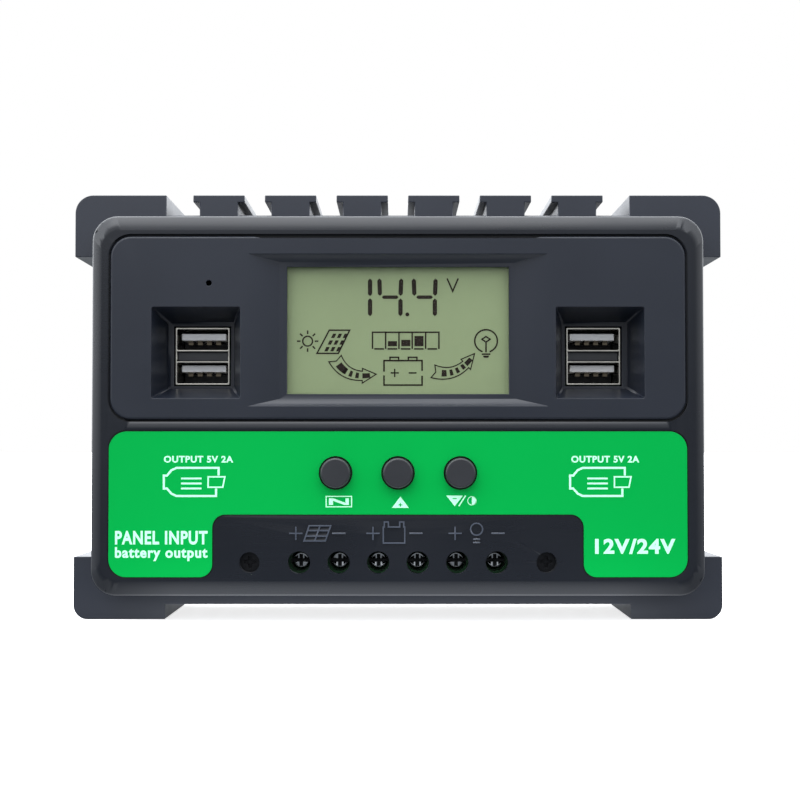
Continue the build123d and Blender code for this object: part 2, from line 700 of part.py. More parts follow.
def display_board_screws():
    """Four small screws holding the display board to the cover."""
    with BuildPart() as made:
        screw(display_board_back, m2_head_height, m2_head_radius, display_board_front + 3.2, m2_radius,
              display_post_places)
    return made.part


def status_led():
    """Small lamp that shines through the pinhole."""
    with BuildPart() as made:
        rod(display_board_front, pocket_back - 1.0, [led_place], 1.5)
        fillet(made.faces().sort_by(Axis.Y)[0].edges(), 1.2)
    return made.part


def switch_bodies():
    """Three square push switches."""
    with BuildPart() as made:
        switch_front = display_board_front + switch_height
        prism(display_board_front, switch_front, button_places, (switch_size, switch_size), 0.4)
        rod(display_board_front + switch_floor, switch_front, button_places, plunger_radius + running_gap,
            mode=Mode.SUBTRACT)
    return made.part


def switch_plunger(place):
    """Plunger that carries one cap into its switch."""
    with BuildPart() as made:
        flange_back = lower_back - button_flange_gap - button_flange_thick
        rod(display_board_front + plunger_rest, flange_back, [place], plunger_radius)
    return made.part


def button_cap(place):
    """Round cap with a flange that keeps it behind the case wall."""
    with BuildPart() as made:
        flange_front = lower_back - button_flange_gap
        flange_back = flange_front - button_flange_thick
        rod(flange_front, front + button_proud, [place], button_radius)
        chamfer(made.faces().sort_by(Axis.Y)[0].edges(), button_chamfer)
        rod(flange_back, flange_front, [place], button_flange_radius)
    return made.part


def header_socket():
    """Female strip hanging from the display board."""
    with BuildPart() as made:
        low = display_board_back - socket_height
        prism(low, display_board_back, [(0, header_row)], (header_count * header_pitch + 1.6, 2.8))
        prism(low, display_board_back - socket_roof, header_places, (socket_hole, socket_hole),
              mode=Mode.SUBTRACT)
    return made.part


def header_pins():
    """Male pins standing up from the main board."""
    with BuildPart() as made:
        prism(main_board_front + header_strip_height, display_board_back - socket_roof - 1.0, header_places,
              (header_pin, header_pin))
    return made.part


def header_strip():
    """Plastic strip at the foot of the pins."""
    with BuildPart() as made:
        prism(main_board_front, main_board_front + header_strip_height, [(0, header_row)],
              (header_count * header_pitch + 0.3, header_strip_depth))
    return made.part


def port_places():
    """Middle of each of the four socket openings."""
    rise = usb_height / 2 - usb_sheet - usb_port_height / 2
    return [(side * usb_x, usb_z + end * rise) for side in (-1, 1) for end in (-1, 1)]


def tongue_places():
    """Middle of each contact tongue."""
    return [(across, up + tongue_lift + (tongue_close if up < usb_z else -tongue_close))
            for across, up in port_places()]


def usb_shell(side):
    """Folded metal shell around two stacked sockets, open between them."""
    with BuildPart() as made:
        place = (side * usb_x, usb_z)
        prism(main_board_front, usb_front, [place], (usb_width, usb_height), 0.3)
        room = (usb_width - 2 * usb_sheet, usb_port_height)
        ports = [port for port in port_places() if port[0] * side > 0]
        prism(main_board_front, usb_front, ports, room, 0.3, mode=Mode.SUBTRACT)
        prism(main_board_front, usb_front, [place], (room[0], usb_middle_height), mode=Mode.SUBTRACT)
    return made.part


def usb_insulators():
    """Moulded backs, tongues and middle blocks of the sockets."""
    with BuildPart() as made:
        room = (usb_width - 2 * usb_sheet - 0.1, usb_port_height - 0.1)
        prism(main_board_front, main_board_front + usb_back_thick, port_places(), room, 0.25)
        prism(main_board_front, usb_front - tongue_set_back, tongue_places(), (tongue_width, tongue_thick), 0.2)
        prism(main_board_front, usb_front - usb_fill_set_back, [(-usb_x, usb_z), (usb_x, usb_z)],
              (room[0], usb_middle_height - 0.1))
    return made.part


def usb_contacts():
    """Four spring strips under each tongue."""
    with BuildPart() as made:
        places = []
        for across, up in tongue_places():
            for count in range(contact_count):
                shift = (count - (contact_count - 1) / 2) * contact_pitch
                places.append((across + shift, up - tongue_thick / 2 - contact_thick / 2))
        prism(main_board_front + usb_back_thick, usb_front - tongue_set_back - contact_set_back, places,
              (contact_width, contact_thick))
        bow_front = usb_front - tongue_set_back - contact_set_back - contact_bow_length / 2
        bows = [(across, up - (contact_bow - contact_thick) / 2) for across, up in places]
        prism(bow_front - contact_bow_length, bow_front, bows, (contact_width, contact_bow))
    return made.part


def main_board():
    """Power board on its four posts."""
    with BuildPart() as made:
        prism(main_board_height, main_board_front, [(0, 0)], board_size, 2.0)
        corners = [(side * board_size[0] / 2, board_size[1] / 2) for side in (-1, 1)]
        prism(main_board_height, main_board_front, corners, (18.0, 18.0), mode=Mode.SUBTRACT)
        rod(main_board_height, main_board_front, case_screw_places, case_boss_radius + 0.5, mode=Mode.SUBTRACT)
        rod(main_board_height, main_board_front, board_screw_places + sink_screw_places, m3_radius + clear_hole,
            mode=Mode.SUBTRACT)
    return made.part


def board_screws():
    """Four screws holding the main board down."""
    with BuildPart() as made:
        screw(main_board_front, m3_head_height, m3_head_radius, main_board_height - 7.0, m3_radius,
              board_screw_places)
    return made.part


def case_screws_front():
    """Two screws at the bottom corners of the face, deep in their tubes."""
    with BuildPart() as made:
        screw(case_screw_seat, case_head_height, case_head_radius, housing_depth - case_screw_bite,
              case_screw_radius, case_screw_places)
    return made.part


def case_screws_rear():
    """Two screws at the top, driven in from the back."""
    with BuildPart() as made:
        screw(rear_screw_seat, m3_head_height, m3_head_radius, pocket_back - 3.0, m3_radius, rear_screw_places)
    return made.part


def pole_group(block):
    """Poles that belong to one terminal block."""
    return pole_xs[block * poles_per_block:(block + 1) * poles_per_block]


def terminal_block(block):
    """Two-pole green block with screw wells, cage rooms and wire mouths."""
    with BuildPart() as made:
        xs = pole_group(block)
        middle = sum(xs) / len(xs)
        places = [(across, pole_row) for across in xs]
        size = (poles_per_block * pole_pitch - block_gap, block_top - block_bottom)
        prism(main_board_front, block_front, [(middle, (block_top + block_bottom) / 2)], size)
        rod(shoulder_front, block_front, places, head_radius + head_gap, mode=Mode.SUBTRACT)
        rod(shoulder_back, shoulder_front, places, screw_radius + running_gap, mode=Mode.SUBTRACT)
        room = (cage_width + 2 * cage_gap, cage_length + 2 * cage_gap)
        prism(cage_back - 0.3, shoulder_back, places, room, mode=Mode.SUBTRACT)
        leg_size = (bar_width + 0.2, leg_top - pole_row + 0.1)
        leg_places = [(across, pole_row + leg_size[1] / 2) for across in xs]
        prism(main_board_front, bar_front + 0.1, leg_places, leg_size, mode=Mode.SUBTRACT)
        mouth_low = cage_window_back - 0.1
        mouth_places = [(across, block_bottom + 1.0) for across in xs]
        prism(mouth_low, bar_back + 0.1, mouth_places, (entry_width - 0.4, 2.0), mode=Mode.SUBTRACT)
    return made.part


def terminal_bars():
    """Bent bars inside the blocks that the wires are clamped against."""
    with BuildPart() as made:
        low = pole_row - cage_length / 2
        flat = [(across, (low + leg_top) / 2) for across in pole_xs]
        prism(bar_back, bar_front, flat, (bar_width, leg_top - low))
        legs = [(across, leg_top - bar_thick / 2) for across in pole_xs]
        prism(main_board_front, bar_back, legs, (bar_width, bar_thick))
    return made.part


def terminal_screw(across):
    """Captive clamp screw with a crossed slot."""
    with BuildPart() as made:
        place = [(across, pole_row)]
        rod(head_back, head_front, place, head_radius)
        chamfer(made.faces().sort_by(Axis.Y)[0].edges(), head_chamfer)
        rod(bar_front + 0.15, head_back, place, screw_radius)
        for size in ((2 * head_radius, slot_width), (slot_width, slot_length)):
            prism(head_front - slot_depth, head_front, place, size, mode=Mode.SUBTRACT)
    return made.part


def wire_cage(across):
    """Square cage that climbs the screw and pulls the wire against the bar."""
    with BuildPart() as made:
        place = [(across, pole_row)]
        prism(cage_back, cage_front, place, (cage_width, cage_length))
        prism(cage_window_back, cage_window_front, place, (cage_width - 2 * cage_wall, cage_length),
              mode=Mode.SUBTRACT)
        rod(cage_window_front, cage_front, place, screw_radius + running_gap, mode=Mode.SUBTRACT)
    return made.part


def heat_sink():
    """Finned aluminium plate behind the power board."""
    with BuildPart() as made:
        prism(sink_base_back, sink_front, [(0, sink_middle)], (sink_width, sink_height))
        step = (sink_width - sink_fin_thick) / (sink_fin_count - 1)
        places = [(-sink_width / 2 + sink_fin_thick / 2 + place * step, sink_middle)
                  for place in range(sink_fin_count)]
        prism(sink_back, sink_base_back, places, (sink_fin_thick, sink_height))
        rod(sink_base_back + 0.8, sink_front, sink_screw_places, m3_radius + seat_gap, mode=Mode.SUBTRACT)
    return made.part


def heat_sink_spacers():
    """Four sleeves between heat sink and board."""
    with BuildPart() as made:
        rod(sink_front, main_board_height, sink_screw_places, m3_radius + 1.5)
        rod(sink_front, main_board_height, sink_screw_places, m3_radius + clear_hole, mode=Mode.SUBTRACT)
    return made.part


def heat_sink_screws():
    """Four screws through board and sleeves into the heat sink."""
    with BuildPart() as made:
        screw(main_board_front, m3_head_height, m3_head_radius, sink_base_back + 1.2, m3_radius,
              sink_screw_places)
    return made.part


def thermal_pads():
    """Soft pads under the power transistors."""
    with BuildPart() as made:
        prism(sink_front, pad_front, mosfet_places, (mosfet_width + 2.0, mosfet_length + 5.0))
    return made.part


def mosfet_tabs():
    """Metal backs of the power transistors."""
    with BuildPart() as made:
        places = [(across, up + transistor_tab_shift) for across, up in mosfet_places]
        prism(pad_front, pad_front + mosfet_tab, places, (mosfet_width, mosfet_length))
        holes = [(across, up + transistor_hole_rise) for across, up in mosfet_places]
        rod(pad_front, pad_front + mosfet_tab, holes, transistor_hole_radius, mode=Mode.SUBTRACT)
    return made.part


def mosfet_bodies():
    """Moulded bodies of the power transistors with their leads to the board."""
    with BuildPart() as made:
        low = pad_front + mosfet_tab
        places = [(across, up - 1.0) for across, up in mosfet_places]
        prism(low, low + mosfet_body, places, (mosfet_width, transistor_body_length))
        edge = -1.0 - transistor_body_length / 2
        for shift in (-lead_pitch, 0, lead_pitch):
            foot = [(across + shift, up + edge - lead_run / 2) for across, up in mosfet_places]
            prism(low + lead_lift, low + lead_lift + lead_width, foot, (lead_width, lead_run))
            tip = [(across + shift, up + edge - lead_run) for across, up in mosfet_places]
            prism(low + lead_lift, main_board_height, tip, (lead_width, lead_width))
    return made.part


def capacitors():
    """Four can capacitors beside the outlets."""
    with BuildPart() as made:
        top = main_board_front + min(capacitor_height, pocket_back - main_board_front - 2.0)
        places = [(side * (usb_x + capacitor_past), up) for side in (-1, 1) for up in capacitor_rows]
        rod(main_board_front, top, places, capacitor_radius)
        rod(top - capacitor_dish, top, places, capacitor_radius - capacitor_rim, mode=Mode.SUBTRACT)
    return made.part


def inductor_core():
    """Ring core of the step-down coil."""
    with BuildPart() as made:
        low = main_board_front + coil_lift
        rod(low, low + coil_height, [coil_middle], coil_outer)
        rod(low, low + coil_height, [coil_middle], coil_inner, mode=Mode.SUBTRACT)
    return made.part


def inductor_winding():
    """Copper turns around the ring core."""
    with BuildPart() as made:
        low = main_board_front + coil_lift
        high = low + coil_height
        wire = coil_wire
        gap = coil_gap
        with BuildSketch(facing(low - wire)) as loops:
            with Locations(coil_middle):
                with PolarLocations((coil_outer + coil_inner) / 2, coil_turns):
                    Rectangle(coil_outer - coil_inner + 2 * wire + 2 * gap, wire)
        extrude(loops.sketch, amount=high - low + 2 * wire)
        rod(low - gap, high + gap, [coil_middle], coil_outer + gap, mode=Mode.SUBTRACT)
        inner_legs = []
        for turn in range(coil_turns):
            angle = math.radians(360 / coil_turns * turn)
            reach = coil_inner - gap - wire / 2
            inner_legs.append((coil_middle[0] + reach * math.cos(angle), coil_middle[1] + reach * math.sin(angle)))
        rod(low - wire, high + wire, inner_legs, wire / 2)
    return made.part


def fuse_holder():
    """Holder for a blade fuse."""
    with BuildPart() as made:
        seat = main_board_front + fuse_proud
        outer = (fuse_size[0] + 2 * holder_wall[0], fuse_size[1] + 2 * holder_wall[1])
        inner = (fuse_size[0] + 0.4, fuse_size[1] + 0.4)
        prism(main_board_front, main_board_front + fuse_height, [fuse_middle], outer, 0.8)
        prism(seat, main_board_front + fuse_height, [fuse_middle], inner, mode=Mode.SUBTRACT)
    return made.part


def fuse():
    """Blade fuse in its holder."""
    with BuildPart() as made:
        seat = main_board_front + fuse_proud
        prism(seat, seat + fuse_height, [fuse_middle], fuse_size, 0.6)
    return made.part


def buzzer():
    """Round sounder with its outlet hole."""
    with BuildPart() as made:
        top = main_board_front + buzzer_height
        rod(main_board_front, top, [buzzer_middle], buzzer_radius)
        rod(top - 2.5, top, [buzzer_middle], buzzer_outlet, mode=Mode.SUBTRACT)
    return made.part


def chip_packages():
    """Processor, driver and regulator packages on the two boards."""
    with BuildPart() as made:
        prism(display_board_back - chip_thick, display_board_back, [driver_middle], driver_size)
        prism(display_board_back - chip_thick, display_board_back, regulator_middles, regulator_size)
        prism(main_board_front, main_board_front + chip_thick, [processor_middle], processor_size)
        prism(main_board_front, main_board_front + chip_thick, gate_driver_middles, gate_driver_size)
    return made.part


def shunts():
    """Bent sensing strips beside the terminals."""
    with BuildPart() as made:
        places = [(side * (case_screw_x + shunt_past), pole_row + shunt_rise) for side in (-1, 1)]
        legs = [(across + end * (shunt_span - shunt_thick) / 2, up) for across, up in places for end in (-1, 1)]
        roof = main_board_front + shunt_height
        prism(main_board_front, roof - shunt_thick, legs, (shunt_thick, shunt_width))
        prism(roof - shunt_thick, roof, places, (shunt_span, shunt_width))
    return made.part


def save(name, solid):
    """Write one sub-part under its name."""
    solid.label = name
    export_step(solid, os.path.join("parts", name + ".step"))


os.makedirs("parts", exist_ok=True)
save("rear_housing", rear_housing())
save("front_cover", front_cover())
save("display_panel", display_panel())
save("front_label", front_label())
save("lcd_window", lcd_window_lens())
save("lcd_glass", lcd_glass())
save("lcd_frame", lcd_frame())
save("lcd_backlight", lcd_backlight())
save("lcd_pins", lcd_pins())
save("display_board", display_board())
save("display_board_screws", display_board_screws())
save("status_led", status_led())
save("switch_bodies", switch_bodies())
button_names = ["view", "up", "down"]
for name, place in zip(button_names, button_places):
    save("button_cap_" + name, button_cap(place))
    save("switch_plunger_" + name, switch_plunger(place))
save("header_socket", header_socket())
save("header_pins", header_pins())
save("header_strip", header_strip())
save("usb_shell_left", usb_shell(-1))
save("usb_shell_right", usb_shell(1))
save("usb_insulators", usb_insulators())
save("usb_contacts", usb_contacts())
save("main_board", main_board())
save("board_screws", board_screws())
save("case_screws_front", case_screws_front())
save("case_screws_rear", case_screws_rear())
for block, name in enumerate(["panel", "battery", "load"]):
    save("terminal_block_" + name, terminal_block(block))
save("terminal_bars", terminal_bars())
for number, across in enumerate(pole_xs, start=1):
    save("terminal_screw_" + str(number), terminal_screw(across))
    save("wire_cage_" + str(number), wire_cage(across))
save("heat_sink", heat_sink())
save("heat_sink_spacers", heat_sink_spacers())
save("heat_sink_screws", heat_sink_screws())
save("thermal_pads", thermal_pads())
save("mosfet_tabs", mosfet_tabs())
save("mosfet_bodies", mosfet_bodies())
save("capacitors", capacitors())
save("inductor_core", inductor_core())
save("inductor_winding", inductor_winding())
save("fuse_holder", fuse_holder())
save("fuse", fuse())
save("buzzer", buzzer())
save("chip_packages", chip_packages())
save("shunts", shunts())
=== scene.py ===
import math
import bmesh
import bpy
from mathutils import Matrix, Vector


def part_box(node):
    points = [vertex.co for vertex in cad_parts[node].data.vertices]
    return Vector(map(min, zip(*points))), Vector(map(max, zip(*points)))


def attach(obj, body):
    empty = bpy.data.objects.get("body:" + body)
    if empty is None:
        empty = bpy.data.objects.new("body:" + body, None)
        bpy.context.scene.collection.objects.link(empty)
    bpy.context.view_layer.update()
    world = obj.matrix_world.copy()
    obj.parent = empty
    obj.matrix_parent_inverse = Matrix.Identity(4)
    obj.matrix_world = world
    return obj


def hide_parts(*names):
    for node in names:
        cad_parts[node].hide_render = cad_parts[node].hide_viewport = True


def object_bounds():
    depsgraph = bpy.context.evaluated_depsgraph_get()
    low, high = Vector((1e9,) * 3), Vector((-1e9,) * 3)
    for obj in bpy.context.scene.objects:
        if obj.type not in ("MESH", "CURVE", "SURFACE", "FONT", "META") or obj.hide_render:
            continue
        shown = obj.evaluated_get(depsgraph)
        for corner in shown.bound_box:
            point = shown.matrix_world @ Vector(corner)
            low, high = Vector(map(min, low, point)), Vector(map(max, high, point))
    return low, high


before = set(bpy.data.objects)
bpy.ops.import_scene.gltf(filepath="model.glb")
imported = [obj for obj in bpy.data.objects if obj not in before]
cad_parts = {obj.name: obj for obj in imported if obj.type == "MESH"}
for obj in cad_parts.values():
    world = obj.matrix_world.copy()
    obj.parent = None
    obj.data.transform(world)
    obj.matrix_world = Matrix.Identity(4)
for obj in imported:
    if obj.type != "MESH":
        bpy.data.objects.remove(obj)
cad_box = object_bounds()

# ---- Rear housing ----
# Deep back half of the case, injection moulded in dark blue-grey flame-retardant plastic.
# One tool gives it the ears, the ribs and a fine spark-eroded grain; its edges are a little rounded.


def linear(code):
    """Linear colour of an sRGB hex code."""
    parts = [int(code[start:start + 2], 16) / 255 for start in (1, 3, 5)]
    return [part / 12.92 if part <= 0.04045 else ((part + 0.055) / 1.055) ** 2.4 for part in parts] + [1.0]


def shade(colour, factor):
    """The same colour, lighter or darker."""
    return [min(1.0, part * factor) for part in colour[:3]] + [1.0]


def add_node(tree, kind, settings=None, links=None):
    """Adds one shader node with its settings and its links."""
    made = tree.nodes.new(kind)
    for name, value in (settings or {}).items():
        if isinstance(name, int) or name in made.inputs:
            made.inputs[name].default_value = value
        else:
            setattr(made, name, value)
    for name, source in (links or {}).items():
        tree.links.new(source, made.inputs[name])
    return made


def start_finish(name):
    """Empty node material and its object coordinates."""
    finish = bpy.data.materials.new(name)
    finish.use_nodes = True
    finish.node_tree.nodes.clear()
    place = add_node(finish.node_tree, "ShaderNodeTexCoord").outputs["Object"]
    return finish, finish.node_tree, place


def two_tone(tree, source, colour, low, high):
    """Colour that drifts between two tones of one hex code."""
    ramp = add_node(tree, "ShaderNodeValToRGB", links={"Fac": source})
    ramp.color_ramp.elements[0].position = 0.3
    ramp.color_ramp.elements[1].position = 0.7
    ramp.color_ramp.elements[0].color = shade(linear(colour), low)
    ramp.color_ramp.elements[1].color = shade(linear(colour), high)
    return ramp.outputs["Color"]


def end_finish(tree, surface):
    """Closes the material with its output."""
    add_node(tree, "ShaderNodeOutputMaterial", links={"Surface": surface})


def moulded(name, colour, rough=0.45, grain_mm=0.22, depth_mm=0.012, level=0.5, ior=1.5):
    """Moulded plastic: eroded grain, drifting gloss and faint handling scratches."""
    finish, tree, place = start_finish(name)
    grain = add_node(tree, "ShaderNodeTexNoise", {"Scale": 1000 / grain_mm, "Detail": 3.0, "Roughness": 0.6},
                     {"Vector": place})
    cloud = add_node(tree, "ShaderNodeTexNoise", {"Scale": 32.0, "Detail": 2.0}, {"Vector": place})
    stretch = add_node(tree, "ShaderNodeMapping",
                       {"Scale": (60.0, 900.0, 900.0), "Rotation": (0.0, 0.5, 0.2)}, {"Vector": place})
    scratch = add_node(tree, "ShaderNodeTexNoise", {"Scale": 1.0, "Detail": 1.0},
                       {"Vector": stretch.outputs[0]})
    worn = add_node(tree, "ShaderNodeMath", {"operation": "MULTIPLY_ADD", 1: 0.35},
                    {0: scratch.outputs["Fac"], 2: cloud.outputs["Fac"]})
    gloss = add_node(tree, "ShaderNodeMapRange", {"From Min": 0.35, "From Max": 1.0, "To Min": rough - 0.05,
                                                  "To Max": rough + 0.09}, {"Value": worn.outputs[0]})
    relief = add_node(tree, "ShaderNodeBump", {"Strength": 0.35, "Distance": depth_mm / 1000},
                      {"Height": grain.outputs["Fac"]})
    tone = two_tone(tree, cloud.outputs["Fac"], colour, 0.93, 1.07)
    plastic = add_node(tree, "ShaderNodeBsdfPrincipled", {"IOR": ior, "Specular IOR Level": level},
                       {"Base Color": tone, "Roughness": gloss.outputs[0], "Normal": relief.outputs[0]})
    end_finish(tree, plastic.outputs[0])
    return finish


def finished(node, rounds, material, body="case", sharp=28.0):
    """Copy of a node with its hard edges rounded, standing in for it."""
    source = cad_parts[node]
    work = bmesh.new()
    work.from_mesh(source.data)
    bmesh.ops.remove_doubles(work, verts=work.verts, dist=2e-6)
    bmesh.ops.dissolve_limit(work, angle_limit=math.radians(0.6), verts=work.verts, edges=work.edges)
    for width, pick in rounds:
        hard = []
        for edge in work.edges:
            if len(edge.link_faces) == 2 and edge.is_convex and pick(edge):
                if edge.calc_face_angle() > math.radians(sharp):
                    hard.append(edge)
        if hard:
            bmesh.ops.bevel(work, geom=hard, offset=width / 1000, offset_type="OFFSET", segments=3,
                            profile=0.5, affect="EDGES", clamp_overlap=False, material=-1)
    bmesh.ops.recalc_face_normals(work, faces=work.faces)
    mesh = bpy.data.meshes.new(node + "_finished")
    work.to_mesh(mesh)
    work.free()
    piece = bpy.data.objects.new(node + "_finished", mesh)
    bpy.context.scene.collection.objects.link(piece)
    smooth_faces(piece, 50)
    even = piece.modifiers.new("even_normals", "WEIGHTED_NORMAL")
    even.weight = 90
    even.keep_sharp = True
    dress(piece, material)
    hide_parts(node)
    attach(piece, body)
    return piece


def smooth_faces(piece, degrees):
    """Smooth shading that keeps edges sharper than the limit."""
    piece.data.polygons.foreach_set("use_smooth", [True] * len(piece.data.polygons))
    piece.data.set_sharp_from_angle(angle=math.radians(degrees))


def dress(piece, material):
    """One material."""
    piece.data.materials.clear()
    piece.data.materials.append(material)


def any_edge(edge):
    """Every hard edge."""
    return True


case_plastic = moulded("moulded_case_plastic", "#20242e", rough=0.34, depth_mm=0.010, level=0.46)
finished("rear_housing", [(0.2, any_edge)], case_plastic)

# ---- Front cover ----
# Front half of the case in the same plastic, dropped over the lip of the housing; here it is coloured darker
# than the housing, painted shade on its front faces.
# The sloped band and its crest are moulded soft; the signs by the terminals are raised from the tool and
# coloured lighter than the cover, a painted highlight.
rim_line = -0.0514


def rim_edge(edge):
    """Edges along the foot and the crest of the sloped band."""
    first, second = (vert.co for vert in edge.verts)
    foot = abs(first.y - rim_line) < 2e-4 and abs(second.y - rim_line) < 2e-4
    return foot and max(abs(first.x) / 0.0742, abs(first.z) / 0.046) > 0.97


# Same plastic as the housing, coloured darker: painted shade on the cover's front.
cover_shaded_plastic = moulded("moulded_cover_plastic_painted_shade", "#0b0f17", rough=0.27, depth_mm=0.010, level=0.34)
# The raised signs take a lighter colour on the same plastic: painted highlight.
sign_highlight_plastic = moulded("raised_sign_painted_highlight", "#3c424e", rough=0.3, depth_mm=0.004, level=0.5)
cover = finished("front_cover", [(0.7, rim_edge)], cover_shaded_plastic, sharp=20.0)
cover.data.materials.append(sign_highlight_plastic)
sign_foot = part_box("front_cover")[0].y + 0.0001
for face in cover.data.polygons:
    if face.center.y < sign_foot:
        face.material_index = 1

# ---- Display panel ----
# Separate moulding pressed into its pocket, finer grained than the case; it is coloured lighter than the
# cover as painted light.
# Its display recess and the two funnels are moulded in one with it.
# Coloured lighter than the cover: painted light on the panel's face.
panel_lit_plastic = moulded("moulded_panel_plastic_painted_light", "#1b1f28", rough=0.32, grain_mm=0.18, depth_mm=0.008,
                        level=0.34)
finished("display_panel", [(0.12, any_edge)], panel_lit_plastic, sharp=24.0)

# ---- Display ----
# Reflective liquid crystal cell behind a clear sheet, lit from behind by a milky guide.
# The dark signs are electrodes in the cell, drawn here as thin shapes on its front.
cell_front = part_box("lcd_glass")[0].y


def flat_piece(name, shapes, depth, material, body="case"):
    """Thin printed shapes lying in one plane that faces the front. Sizes in millimetres."""
    work = bmesh.new()
    for shape in shapes:
        for loop in shape:
            verts = [work.verts.new((across / 1000, depth, up / 1000)) for across, up in loop]
            face = work.faces.new(verts)
            face.normal_update()
            if face.normal.y > 0:
                face.normal_flip()
    bmesh.ops.triangulate(work, faces=work.faces)
    mesh = bpy.data.meshes.new(name)
    work.to_mesh(mesh)
    work.free()
    piece = bpy.data.objects.new(name, mesh)
    bpy.context.scene.collection.objects.link(piece)
    dress(piece, material)
    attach(piece, body)
    return piece


def line(points, width, closed=False):
    """Quads along a run of points, with mitred corners."""
    count = len(points)
    left, right = [], []
    for index, point in enumerate(points):
        here = Vector(point)
        before = Vector(points[index - 1]) if index or closed else None
        after = Vector(points[(index + 1) % count]) if index < count - 1 or closed else None
        ways = ((here - before) if before else None, (after - here) if after else None)
        ways = [way.normalized() for way in ways if way is not None]
        normals = [Vector((-way.y, way.x)) for way in ways]
        middle = sum(normals, Vector((0, 0))).normalized()
        reach = width / 2 / max(0.35, middle.dot(normals[0]))
        left.append(here + middle * reach)
        right.append(here - middle * reach)
    steps = range(count if closed else count - 1)
    return [[left[step], left[(step + 1) % count], right[(step + 1) % count], right[step]] for step in steps]


def arc(centre, radius, start, end, steps=24):
    """Points on an arc, in degrees."""
    angles = [math.radians(start + (end - start) * step / steps) for step in range(steps + 1)]
    return [(centre[0] + radius * math.cos(angle), centre[1] + radius * math.sin(angle)) for angle in angles]


def ring(centre, radius, width, steps=36):
    """Circle drawn as a line."""
    return line(arc(centre, radius, 0, 360, steps)[:-1], width, closed=True)


def disc(centre, radius, steps=24):
    """Filled circle."""
    return [arc(centre, radius, 0, 360, steps)[:-1]]


def bar(left, low, right, high):
    """Filled rectangle."""
    return [[(left, low), (right, low), (right, high), (left, high)]]


def upright(across, low, high, width=1.05, lean=0.0):
    """Upright digit segment with pointed ends."""
    half = width / 2
    return [[(across - half, low + half), (across, low), (across + half, low + half),
             (across + half + lean, high - half), (across + lean, high), (across - half + lean, high - half)]]


def level(left, right, up, width=0.85):
    """Level digit segment with pointed ends."""
    half = width / 2
    return [[(left, up), (left + half, up + half), (right - half, up + half), (right, up),
             (right - half, up - half), (left + half, up - half)]]


def curved_arrow(spine, tail, tip_width, tail_notch, fills):
    """Outlined bent arrow with filled blocks inside it."""
    made = []
    points = [Vector(point) for point in spine]
    ways = []
    for index in range(len(points)):
        first = points[max(0, index - 1)]
        last = points[min(len(points) - 1, index + 1)]
        ways.append((last - first).normalized())
    sides = [Vector((-way.y, way.x)) for way in ways]
    share = [index / (len(points) - 1) for index in range(len(points))]
    neck = next(index for index, part in enumerate(share) if part >= 0.72)
    half = [tail / 2 * (1 - 0.45 * part) for part in share]
    upper = [points[index] + sides[index] * half[index] for index in range(neck + 1)]
    lower = [points[index] - sides[index] * half[index] for index in range(neck + 1)]
    head_up = points[neck] + sides[neck] * tip_width / 2
    head_low = points[neck] - sides[neck] * tip_width / 2
    notch = points[0] + ways[0] * tail_notch
    outline = [notch] + upper + [head_up, points[-1], head_low] + lower[::-1]
    made += line([tuple(point) for point in outline], 0.27, closed=True)
    for start, end in fills:
        first = [index for index, part in enumerate(share) if start <= part <= end]
        top = [points[index] + sides[index] * half[index] * 0.55 for index in first]
        base = [points[index] - sides[index] * half[index] * 0.55 for index in first]
        for step in range(len(first) - 1):
            made.append([top[step], top[step + 1], base[step + 1], base[step]])
    return made


def bend(start, middle, end, steps=28):
    """Points on a smooth bend through its pull point."""
    made = []
    for step in range(steps + 1):
        part = step / steps
        made.append(tuple((1 - part) ** 2 * start[axis] + 2 * part * (1 - part) * middle[axis]
                          + part ** 2 * end[axis] for axis in (0, 1)))
    return made


signs = []
digit_low, digit_mid, digit_high = 21.7, 26.35, 30.93
signs += [upright(-6.8, digit_mid + 0.25, digit_high), upright(-6.8, digit_low, digit_mid - 0.25)]
for left in (-4.95, 3.42):
    signs += [upright(left + 0.55, digit_mid + 0.3, digit_high, lean=-0.12)]
    signs += [upright(left + 5.6, digit_mid + 0.3, digit_high, lean=0.12)]
    signs += [level(left + 1.0, left + 5.1, digit_mid)]
    signs += [upright(left + 5.55, digit_low, digit_mid - 0.3)]
signs.append(disc((2.28, 22.15), 0.48))
signs.append(line([(11.95, 30.93), (13.3, 27.8), (14.65, 30.93)], 0.38))
sun = (-21.97, 15.63)
signs.append(ring(sun, 1.19, 0.36))
for ray in range(8):
    angle = math.radians(45 * ray)
    near = (sun[0] + 1.72 * math.cos(angle), sun[1] + 1.72 * math.sin(angle))
    far = (sun[0] + 2.6 * math.cos(angle), sun[1] + 2.6 * math.sin(angle))
    signs.append(line([near, far], 0.36))
signs.append(line([(-16.7, 18.3), (-11.75, 18.3), (-14.5, 12.65), (-19.7, 12.65)], 0.36, closed=True))
for row in range(3):
    for column in range(3):
        up = 16.9 - row * 1.62
        across = -15.05 + column * 1.42 - (18.3 - up) * 0.5
        signs.append([[(across - 0.55, up - 0.5), (across + 0.25, up - 0.5), (across + 0.78, up + 0.55),
                       (across - 0.05, up + 0.55)]])
signs.append(curved_arrow(bend((-15.3, 11.4), (-12.6, 5.9), (-5.3, 7.6)), 3.4, 3.6, 0.7,
                          [(0.14, 0.36), (0.29, 0.42), (0.46, 0.56), (0.6, 0.7), (0.74, 0.9)]))
signs.append(curved_arrow(bend((8.5, 8.3), (14.6, 6.3), (18.6, 12.6)), 3.2, 3.4, 0.7,
                          [(0.16, 0.3), (0.34, 0.45), (0.49, 0.6), (0.64, 0.72), (0.75, 0.9)]))
signs.append(line([(-6.2, 13.75), (-6.2, 17.8), (9.95, 17.8), (9.95, 13.75)], 0.36))
